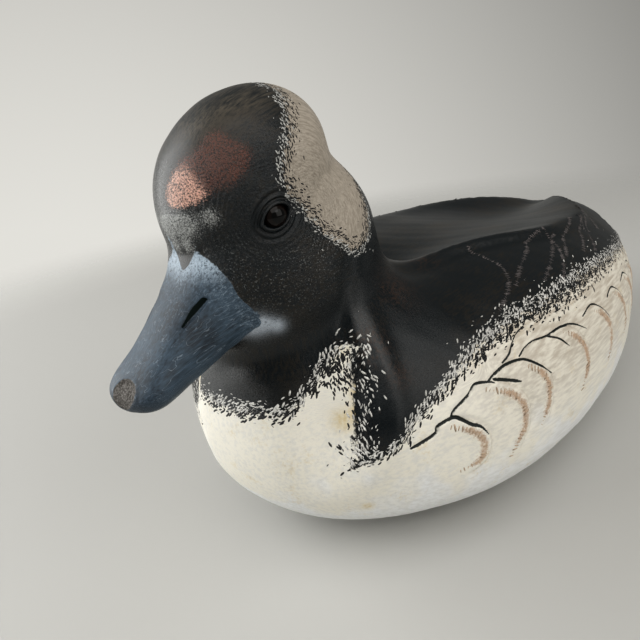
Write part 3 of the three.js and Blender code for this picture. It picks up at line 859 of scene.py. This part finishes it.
# Painted shade: a thin dark line at the foot of each feather's rear edge.
white = paint.mix(paint.times(feather_edge, paint.rise(dabs, -0.2, 0.2, 0.2, 0.75)), white, GRIME_AND_SHADE)
uneven = paint.sum((dabs, 5), (wander, 4))
uneven = paint.times(uneven, paint.rise(cut_in_share, 0, 1, 1, 0.25))
white_cover = paint.rise(paint.sum(white_mm, uneven), -0.2, 0.2)
colour = paint.mix(white_cover, colour, white)

# The patch behind the eye: the same white gone grey-beige, brushed round with the head's curve.
brushwork = paint.sum(brushed, (hairs, 0.5))
patch = paint.mix(paint.rise(brushwork, -0.2, 0.2), PATCH_BEIGE, PATCH_LIGHT)
patch_cover = paint.rise(paint.sum(patch_mm, (dabs, 5), (wander, 3)), -0.2, 0.2)
colour = paint.mix(patch_cover, colour, patch)

# Slate blue: the bill, its edge cut in by hand against the black, with scratches and a paler base.
slate = paint.mix(paint.rise(paint.sum(brushed, broad), -0.3, 0.25), DARK_SLATE, SLATE)
lines = paint.noise(stroke, 0.6, detail=1, distortion=0.3)
scratch = paint.rise(paint.add("Math", {0: lines}, operation="ABSOLUTE"), 0.0, 0.01, 0.3, 0)
slate = paint.mix(scratch, slate, PALE_SLATE)
base_hairs = paint.times(paint.rise(bill_mm, 9, 0), paint.rise(paint.sum(hairs, brushed), 0.0, 0.3))
slate = paint.mix(paint.times(base_hairs, 0.4), slate, PALE_SLATE)
base_top = paint.times(paint.rise(bill_mm, 8, 1), paint.rise(height, 94, 101))
base_top = paint.times(base_top, paint.rise(paint.sum(hairs, brushed), -0.32, 0.1))
slate = paint.mix(base_top, slate, PALE_SLATE)
bill_cover = paint.rise(paint.sum(bill_mm, (dabs, 0.7)), -0.1, 0.1)
colour = paint.mix(bill_cover, colour, slate)
nail = paint.mix(paint.rise(paint.sum(specks, brushed), -0.15, 0.2), NAIL_BROWN, NAIL_PALE)
nail_cover = paint.rise(paint.sum(nail_share, (dabs, 0.5)), 0.42, 0.6)
colour = paint.mix(nail_cover, colour, nail)

# Dark paint in the nostrils and in the flank's cuts, and bare wood below.
nostril_cover = paint.rise(nostril_share, 0.35, 0.55)
cut_cover = paint.rise(paint.sum(cut_share, (dabs, 0.6)), 0.38, 0.62)
colour = paint.mix(paint.over(nostril_cover, cut_cover), colour, CUT_GREEN)
grain = paint.noise(paint.scaled(place, (1, 0.05, 1)), 0.7, detail=5, roughness=0.6, distortion=0.6)
bare = paint.mix(paint.rise(grain, -0.1, 0.2), BARE_WOOD, WOOD_GRAIN)
bare_cover = paint.rise(paint.sum(height, (dabs, 0.8)), 0.3, 0.1)
colour = paint.mix(bare_cover, colour, bare)
paint.feed(paint.shader.inputs["Base Color"], colour)

any_white = paint.over(white_cover, patch_cover)
rough = paint.rise(paint.sum(brushed, specks), -0.3, 0.3, 0.2, 0.36)
rough = paint.blend(paint.rise(backwards, -80, -40), rough, 0.38)
rough = paint.blend(paint.rise(eye_reach, 8, 5), rough, 0.12)
rough = paint.blend(any_white, rough, 0.5)
rough = paint.blend(bill_cover, rough, paint.rise(brushed, -0.3, 0.3, 0.36, 0.5))
rough = paint.blend(sheen_share, rough, 0.5)
rough = paint.blend(paint.over(nail_cover, bare_cover), rough, 0.7)
rough = paint.blend(nostril_cover, rough, 0.9)
paint.feed(paint.shader.inputs["Roughness"], rough)

# Thickness of the paint in mm: the brush leaves ridges, and on the face the paint is drawn into fine folds.
folds_apart = paint.sum((eye_reach, 5.2), (wander, 26), (dabs, 6))
ripple = paint.add("Math", {0: folds_apart}, operation="SINE")
ripples = paint.times(ripple, paint.times(paint.rise(eye_reach, 5, 8), paint.rise(eye_reach, 24, 10)))
ripples = paint.times(ripples, paint.rise(paint.sum(wander, specks), -0.12, 0.12))
face_grain = paint.times(paint.noise(place, 1.7, detail=4, roughness=0.7), paint.rise(eye_reach, 32, 12))
thickness = paint.sum(
    (any_white, 0.05), (bill_cover, 0.06), (brushed, 0.06),
    (hairs, 0.012), (specks, 0.02), (ripples, 0.08),
    (face_grain, 0.25), (coppery, 0.02))
bump = paint.add("Bump", {"Strength": 1.0, "Distance": MM, "Height": thickness})
paint.feed(paint.shader.inputs["Normal"], bump)
gloss = paint.blend(paint.over(nostril_cover, nail_cover), paint.blend(bill_cover, 0.4, 0.26), 0.08)
paint.feed(paint.shader.inputs["Specular IOR Level"], gloss)
mesh.materials.append(paint.material)
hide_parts("carved_duck")
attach(duck, "root")

# Dabs of paint: where black meets white, the tip of a small brush has set short strokes of each colour into
# the other, close together at the border and fewer away from it. They stand a little proud of the paint.
WHITE_DAB, GREY_DAB, BLACK_DAB = (0.72, 0.71, 0.68, 1), (0.55, 0.55, 0.53, 1), (0.006, 0.007, 0.008, 1)
DABS_PER_M2, DAB_THICKNESS, DAB_TURN, DAB_ROUGHNESS = 2.4e6, 0.05, math.radians(50), 0.42
SMALLEST_DAB, LARGEST_DAB = 0.3, 1.5


class Dabs(Nodes):
    """Nodes that lay small flattened drops of paint on points of the skin."""

    def __init__(self, name, **sizes):
        self.tree = bpy.data.node_groups.new(name, "GeometryNodeTree")
        sockets = self.tree.interface
        sockets.new_socket("Geometry", in_out="OUTPUT", socket_type="NodeSocketGeometry")
        for label, kind in {"On": "Geometry", "Length": "Float", "Width": "Float", "Thickness": "Float",
                            "Turn": "Float", "Seed": "Int", "Material": "Material", **sizes}.items():
            sockets.new_socket(label, in_out="INPUT", socket_type="NodeSocket" + kind)
        self.given = self.tree.nodes.new("NodeGroupInput").outputs

    def kept(self, name, kind="FLOAT_VECTOR"):
        return self.add("GeometryNodeInputNamedAttribute", {"Name": name}, data_type=kind)

    def lay(self, points, normal, way):
        """Sets a drop on each point, flat on the skin and long in the way given, a bit askew at random."""
        given = self.given
        size, lean_by = (self.add("FunctionNodeRandomValue", {2: low, 3: high, "Seed": given["Seed"]}, out=1)
                         for low, high in ((SMALLEST_DAB, LARGEST_DAB),
                                           (self.times(given["Turn"], -1.0), given["Turn"])))
        turn = self.add("FunctionNodeAlignRotationToVector", {"Vector": normal}, axis="Z")
        turn = self.add("FunctionNodeAlignRotationToVector", {"Rotation": turn, "Vector": way}, axis="X",
                        pivot_axis="Z")
        lean = self.add("FunctionNodeAxisAngleToRotation", {"Axis": (0, 0, 1), "Angle": lean_by})
        turn = self.add("FunctionNodeRotateRotation", {"Rotation": turn, "Rotate By": lean},
                        rotation_space="LOCAL")
        shape = self.add("CombineXYZ", {"X": given["Length"], "Y": given["Width"], "Z": given["Thickness"]})
        drop = self.add("GeometryNodeMeshIcoSphere", {"Radius": 0.5, "Subdivisions": 1})
        drop = self.add("GeometryNodeTransform", {"Geometry": drop, "Scale": shape})
        laid = self.add("GeometryNodeInstanceOnPoints", {
            "Points": points, "Instance": drop, "Rotation": turn, "Scale": size})
        laid = self.add("GeometryNodeRealizeInstances", {"Geometry": laid})
        laid = self.add("GeometryNodeSetShadeSmooth", {"Geometry": laid})
        laid = self.add("GeometryNodeSetMaterial", {"Geometry": laid, "Material": given["Material"]})
        self.tree.links.new(laid, self.tree.nodes.new("NodeGroupOutput").inputs[0])

    def make(self, name, on, colour, **sizes):
        """What the nodes make on an object, as a piece of its own."""
        dab_paint = Paint(name)
        grain = dab_paint.noise(dab_paint.place(), 0.8, detail=3, roughness=0.6)
        grain = dab_paint.rise(grain, -0.2, 0.2, 0.7, 1.2)
        shade = dab_paint.add("VectorMath", {0: colour[:3], 3: grain}, operation="SCALE")
        dab_paint.feed(dab_paint.shader.inputs["Base Color"], shade)
        dab_paint.feed(dab_paint.shader.inputs["Roughness"], DAB_ROUGHNESS)
        modifier = on.modifiers.new(name, "NODES")
        modifier.node_group = self.tree
        for socket in self.tree.interface.items_tree:
            if socket.name in sizes:
                modifier[socket.identifier] = sizes[socket.name]
            elif socket.name == "Material":
                modifier[socket.identifier] = dab_paint.material
        evaluated = on.evaluated_get(bpy.context.evaluated_depsgraph_get())
        piece = bpy.data.objects.new(name, bpy.data.meshes.new_from_object(evaluated))
        on.modifiers.remove(modifier)
        scene.collection.objects.link(piece)
        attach(piece, "root")


def across_border(distance, middle, spread):
    """How many dabs there are at a distance from a border: most near it, and a few strays."""
    return hump(distance - middle, spread) + 0.05 * hump(distance - 1.6 * middle, 2.2 * spread)


x, y, z = finished.T
clear_of_bill = ramp(-borders[:, 2], 0.5, 1.5)
clumps = np.sin(1.25 * y + 0.5 * z) * np.sin(1.1 * z - 0.7 * x + 1) + 0.5 * np.sin(2.3 * z + 1.9 * y)
clumps = clear_of_bill * (0.35 + 1.1 * ramp(clumps, -0.8, 0.5))
by_shoulder = hump(behind_shoulder(finished) + 3, 6) * ramp(-z, -64, -58) * (np.abs(x) > 20)
strip_top = hump(borders[:, 0] - 2.5, 2.6) * ramp(z, 58, 66) * (1 - cut_in)
body_white = clumps * across_border(borders[:, 0], -0.9, 1.2) * (1 - 0.7 * cut_in)
body_black = clumps * (0.8 * across_border(borders[:, 0], 0.8, 1.1) * (1 - 0.9 * by_shoulder) + strip_top)
patch_white = 1.2 * clumps * across_border(borders[:, 1], -0.6, 0.9)
patch_black = 1.4 * clumps * across_border(borders[:, 1], 1.1, 1.4)
slope_out = outward(finished, wood)
border_slope = np.where((borders[:, 1:2] > -6) & ~off_head[:, None],
                        outward(finished, lambda p: patch_side(to_head(p))), outward(finished, white_side))
dab_way = np.cross(slope_out, border_slope)
keep(mesh, body_white=body_white, body_black=body_black, patch_white=patch_white, patch_black=patch_black,
     dab_way=dab_way)

scattered = Dabs("dabs at a border", Density="Float", Share="String")
share = scattered.kept(scattered.given["Share"], "FLOAT")
spots = scattered.add("GeometryNodeDistributePointsOnFaces", {
    "Mesh": scattered.given["On"], "Density": scattered.times(share, scattered.given["Density"]),
    "Seed": scattered.given["Seed"]}, out=None)
scattered.lay(spots[0], spots[1], scattered.kept("dab_way"))
# name of the share that they follow, colour, length and width in mm, and the seed that scatters them
for name, colour, length, width, seed in (
    ("body_white", WHITE_DAB, 1.4, 0.48, 3), ("body_black", BLACK_DAB, 1.5, 0.54, 8),
    ("patch_white", GREY_DAB, 0.95, 0.36, 4), ("patch_black", BLACK_DAB, 0.95, 0.34, 9),
):
    scattered.make(name + "_dabs", duck, colour, Share=name, Density=DABS_PER_M2, Length=length * MM,
                   Width=width * MM, Thickness=DAB_THICKNESS * MM, Turn=DAB_TURN, Seed=seed)

# Brushed rows: fine brown strokes just inside each flank feather's rear edge, and rows of mauve-grey dabs
# across the black wing. Each row is a line on the skin, and the brush's strokes stand across it.
STROKE_BROWN, MAUVE_GREY = (0.56, 0.42, 0.30, 1), (0.10, 0.088, 0.088, 1)
STROKE_THICKNESS, STROKE_SEED = 0.04, 5
WING_ROWS = [
    [(-26.4, 79.5), (-28.1, 76.4), (-29.6, 73.8), (-35.9, 70.6), (-47.7, 66.8)],
    [(3.8, 77.5), (-11.6, 74.7), (-24.7, 72.5), (-33.9, 70)],
    [(9.1, 74.4), (-22.3, 68.2)],
]
WING_ROW_STEP, WING_ROW_SINK, WING_ROWS_BEHIND = 34, 0.4, 2
CLEAR_OF_SKIN_X = 100


def rows_on_skin(lines):
    """Each line of the side view laid on both sides of the skin, as one object of edges."""
    verts, normals, edges = [], [], []
    for side in (1, -1):
        for line in lines:
            before = None
            for y, z in line:
                start = (Vector((side * CLEAR_OF_SKIN_X, y, z)) + Vector(to_part)) * MM
                hit, spot, normal, _ = duck.ray_cast(start, (-side, 0, 0))
                if not hit:
                    before = None
                    continue
                verts.append(spot)
                normals.append(normal)
                if before is not None:
                    edges.append((before, len(verts) - 1))
                before = len(verts) - 1
    rows = bpy.data.meshes.new("rows")
    rows.from_pydata(verts, edges, [])
    keep(rows, skin_normal=np.array(normals))
    return bpy.data.objects.new("rows", rows)


def beside(line, distance):
    """The line moved to its right."""
    way = np.gradient(line, axis=0)
    return line + distance * np.stack([way[:, 1], -way[:, 0]], 1) / np.linalg.norm(way, axis=1)[:, None]


in_rows = Dabs("strokes in rows", Spacing="Float")
curve = in_rows.add("GeometryNodeMeshToCurve", {"Mesh": in_rows.given["On"]})
spots = in_rows.add("GeometryNodeCurveToPoints", {"Curve": curve, "Length": in_rows.given["Spacing"]},
                    out=None, mode="LENGTH")
normal = in_rows.kept("skin_normal")
across = in_rows.add("VectorMath", {0: spots[1], 1: normal}, operation="CROSS_PRODUCT")
in_rows.lay(spots[0], normal, across)

wing_rows = [drawn([(y + WING_ROW_STEP * number, z - WING_ROW_SINK * number) for y, z in row])
             for number in range(WING_ROWS_BEHIND + 1) for row in WING_ROWS]
stroke_rows = [beside(line, STROKES_INSIDE) for line in feather_edges]
# length, width and spacing of the strokes in mm, and how far they turn at random in degrees
for name, rows, colour, (length, width, spacing, turn) in (
    ("feather_strokes", stroke_rows, STROKE_BROWN, (1.9, 0.5, 1.2, 30)),
    ("wing_dabs", wing_rows, MAUVE_GREY, (2.2, 0.8, 0.9, 50)),
):
    on = rows_on_skin(rows)
    scene.collection.objects.link(on)
    in_rows.make(name, on, colour, Length=length * MM, Width=width * MM, Thickness=STROKE_THICKNESS * MM,
                 Spacing=spacing * MM, Turn=math.radians(turn), Seed=STROKE_SEED)
    bpy.data.objects.remove(on)

# The eyes: two balls of almost black glass with a thin dark brown iris, set in their sockets so that
# only a dome of each shows between the lids.
IRIS, PUPIL = (0.007, 0.004, 0.003, 1), (0.002, 0.002, 0.002, 1)
PUPIL_EDGE, IRIS_BEGINS, GLASS_ROUGHNESS, GLASS_SPECULAR = 0.86, 0.82, 0.04, 0.25
for side, node in ((1, "glass_eye_left"), (-1, "glass_eye_right")):
    low, high = (np.array(corner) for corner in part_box(node))
    middle, radius = (low + high) / 2, (high - low).max() / 2
    ball = bmesh.new()
    bmesh.ops.create_uvsphere(ball, u_segments=48, v_segments=24, radius=radius)
    looks = EYE_OUTWARD * [side, 1, 1]
    turn = Vector(looks).to_track_quat("Z", "Y").to_matrix().to_4x4()
    bmesh.ops.transform(ball, matrix=Matrix.Translation(middle) @ turn, verts=ball.verts)
    eye_mesh = bpy.data.meshes.new("dome_" + node)
    ball.to_mesh(eye_mesh)
    ball.free()
    eye_mesh.shade_smooth()
    eye = bpy.data.objects.new("dome_" + node, eye_mesh)
    scene.collection.objects.link(eye)
    glass = Paint("glass_of_" + node)
    from_middle = glass.add("VectorMath", {0: glass.add("TexCoord", out=3), 1: tuple(middle)},
                            operation="SUBTRACT")
    ahead = glass.add("VectorMath", {0: from_middle, 1: tuple(looks / radius)}, out=1,
                      operation="DOT_PRODUCT")
    streaks = glass.noise(glass.scaled(from_middle, (1 / MM, 1 / MM, 1 / MM)), 1.6, detail=3)
    iris = glass.rise(glass.sum(ahead, (streaks, 0.06)), PUPIL_EDGE, IRIS_BEGINS)
    glass.feed(glass.shader.inputs["Base Color"], glass.mix(iris, PUPIL, IRIS))
    glass.feed(glass.shader.inputs["Roughness"], GLASS_ROUGHNESS)
    glass.feed(glass.shader.inputs["Specular IOR Level"], GLASS_SPECULAR)
    eye_mesh.materials.append(glass.material)
    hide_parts(node)
    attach(eye, "root")

# Floor, light and camera: a pale table by a window on the duck's right, in a pale room that is dimmer
# opposite it. The table fades into the room's own colour, so no edge of it is seen from any side.
TABLE_COLOUR, TABLE_ROUGHNESS, TABLE_FADES = (0.49, 0.487, 0.47, 1), 0.7, (0.34, 0.62)
bpy.ops.mesh.primitive_circle_add(vertices=64, radius=TABLE_FADES[1], fill_type="NGON")
floor = bpy.context.object
floor.name = "floor"
table = Paint("table")
from_middle = table.add("VectorMath", {0: table.add("TexCoord", out=3)}, out=1, operation="LENGTH")
table.feed(table.shader.inputs["Alpha"], table.rise(from_middle, *TABLE_FADES, 1.0, 0.0))
table.feed(table.shader.inputs["Base Color"], TABLE_COLOUR)
table.feed(table.shader.inputs["Roughness"], TABLE_ROUGHNESS)
floor.data.materials.append(table.material)

AZIMUTH, ELEVATION, ROLL = math.radians(42.99), math.radians(20.54), math.radians(-9.12)
CAMERA_TARGET, CAMERA_DISTANCE = np.array([-15.12, -55.5, 58.04]), 219.68
SENSOR, LENS, NEAREST_SEEN = 36, 33.75, 0.01
back = Vector((math.sin(AZIMUTH) * math.cos(ELEVATION), -math.cos(AZIMUTH) * math.cos(ELEVATION),
               math.sin(ELEVATION)))
level = Vector((math.cos(AZIMUTH), math.sin(AZIMUTH), 0))
above = back.cross(level)
right = math.cos(ROLL) * level + math.sin(ROLL) * above
camera = bpy.data.objects.new("camera", bpy.data.cameras.new("camera"))
camera.data.sensor_width, camera.data.lens = SENSOR, LENS
camera.data.clip_start = NEAREST_SEEN
target = Vector((CAMERA_TARGET + to_part) * MM)
camera.matrix_world = Matrix.Translation(target + CAMERA_DISTANCE * MM * back) @ Matrix(
    (right, back.cross(right), back)
).transposed().to_4x4()
scene.collection.objects.link(camera)
scene.camera = camera

ROOM_COLOUR, TOWARDS_WINDOW = (1, 0.985, 0.93, 1), (-1.02, 0.4, -0.5)
ROOM_DIM, ROOM_BRIGHT = 0.2, 0.65
room = bpy.data.worlds.new("room")
room.use_nodes = True
walls = Nodes()
walls.tree = room.node_tree
towards = walls.add("VectorMath", {0: walls.add("TexCoord"), 1: TOWARDS_WINDOW}, out=1,
                    operation="DOT_PRODUCT")
brightness = walls.add("MapRange", {"Value": towards, "From Min": 0.5, "From Max": 1.15, "To Min": ROOM_DIM,
                                    "To Max": ROOM_BRIGHT})
background = room.node_tree.nodes["Background"].inputs
walls.feed(background["Strength"], brightness)
walls.feed(background["Color"], ROOM_COLOUR)
scene.world = room
scene.view_settings.view_transform = "Standard"
scene.view_settings.look = "Medium High Contrast"


def area_light(name, place, aim, width, power, colour):
    lamp = bpy.data.lights.new(name, "AREA")
    lamp.size, lamp.energy, lamp.color = width, power, colour
    light = bpy.data.objects.new(name, lamp)
    light.location = place
    light.rotation_euler = (Vector(place) - Vector(aim)).to_track_quat("Z", "Y").to_euler()
    scene.collection.objects.link(light)


area_light("window", (-0.85, -0.62, 0.5), (0, -0.04, 0.06), 1.2, 13.5, (1, 1, 0.985))
area_light("pale wall", (0.9, 0.0, 0.45), (0, -0.02, 0.04), 0.9, 3.2, (1, 0.98, 0.94))
area_light("ceiling", (0.5, -0.35, 1.15), (0, 0, 0), 1.3, 7.5, (1, 0.99, 0.97))
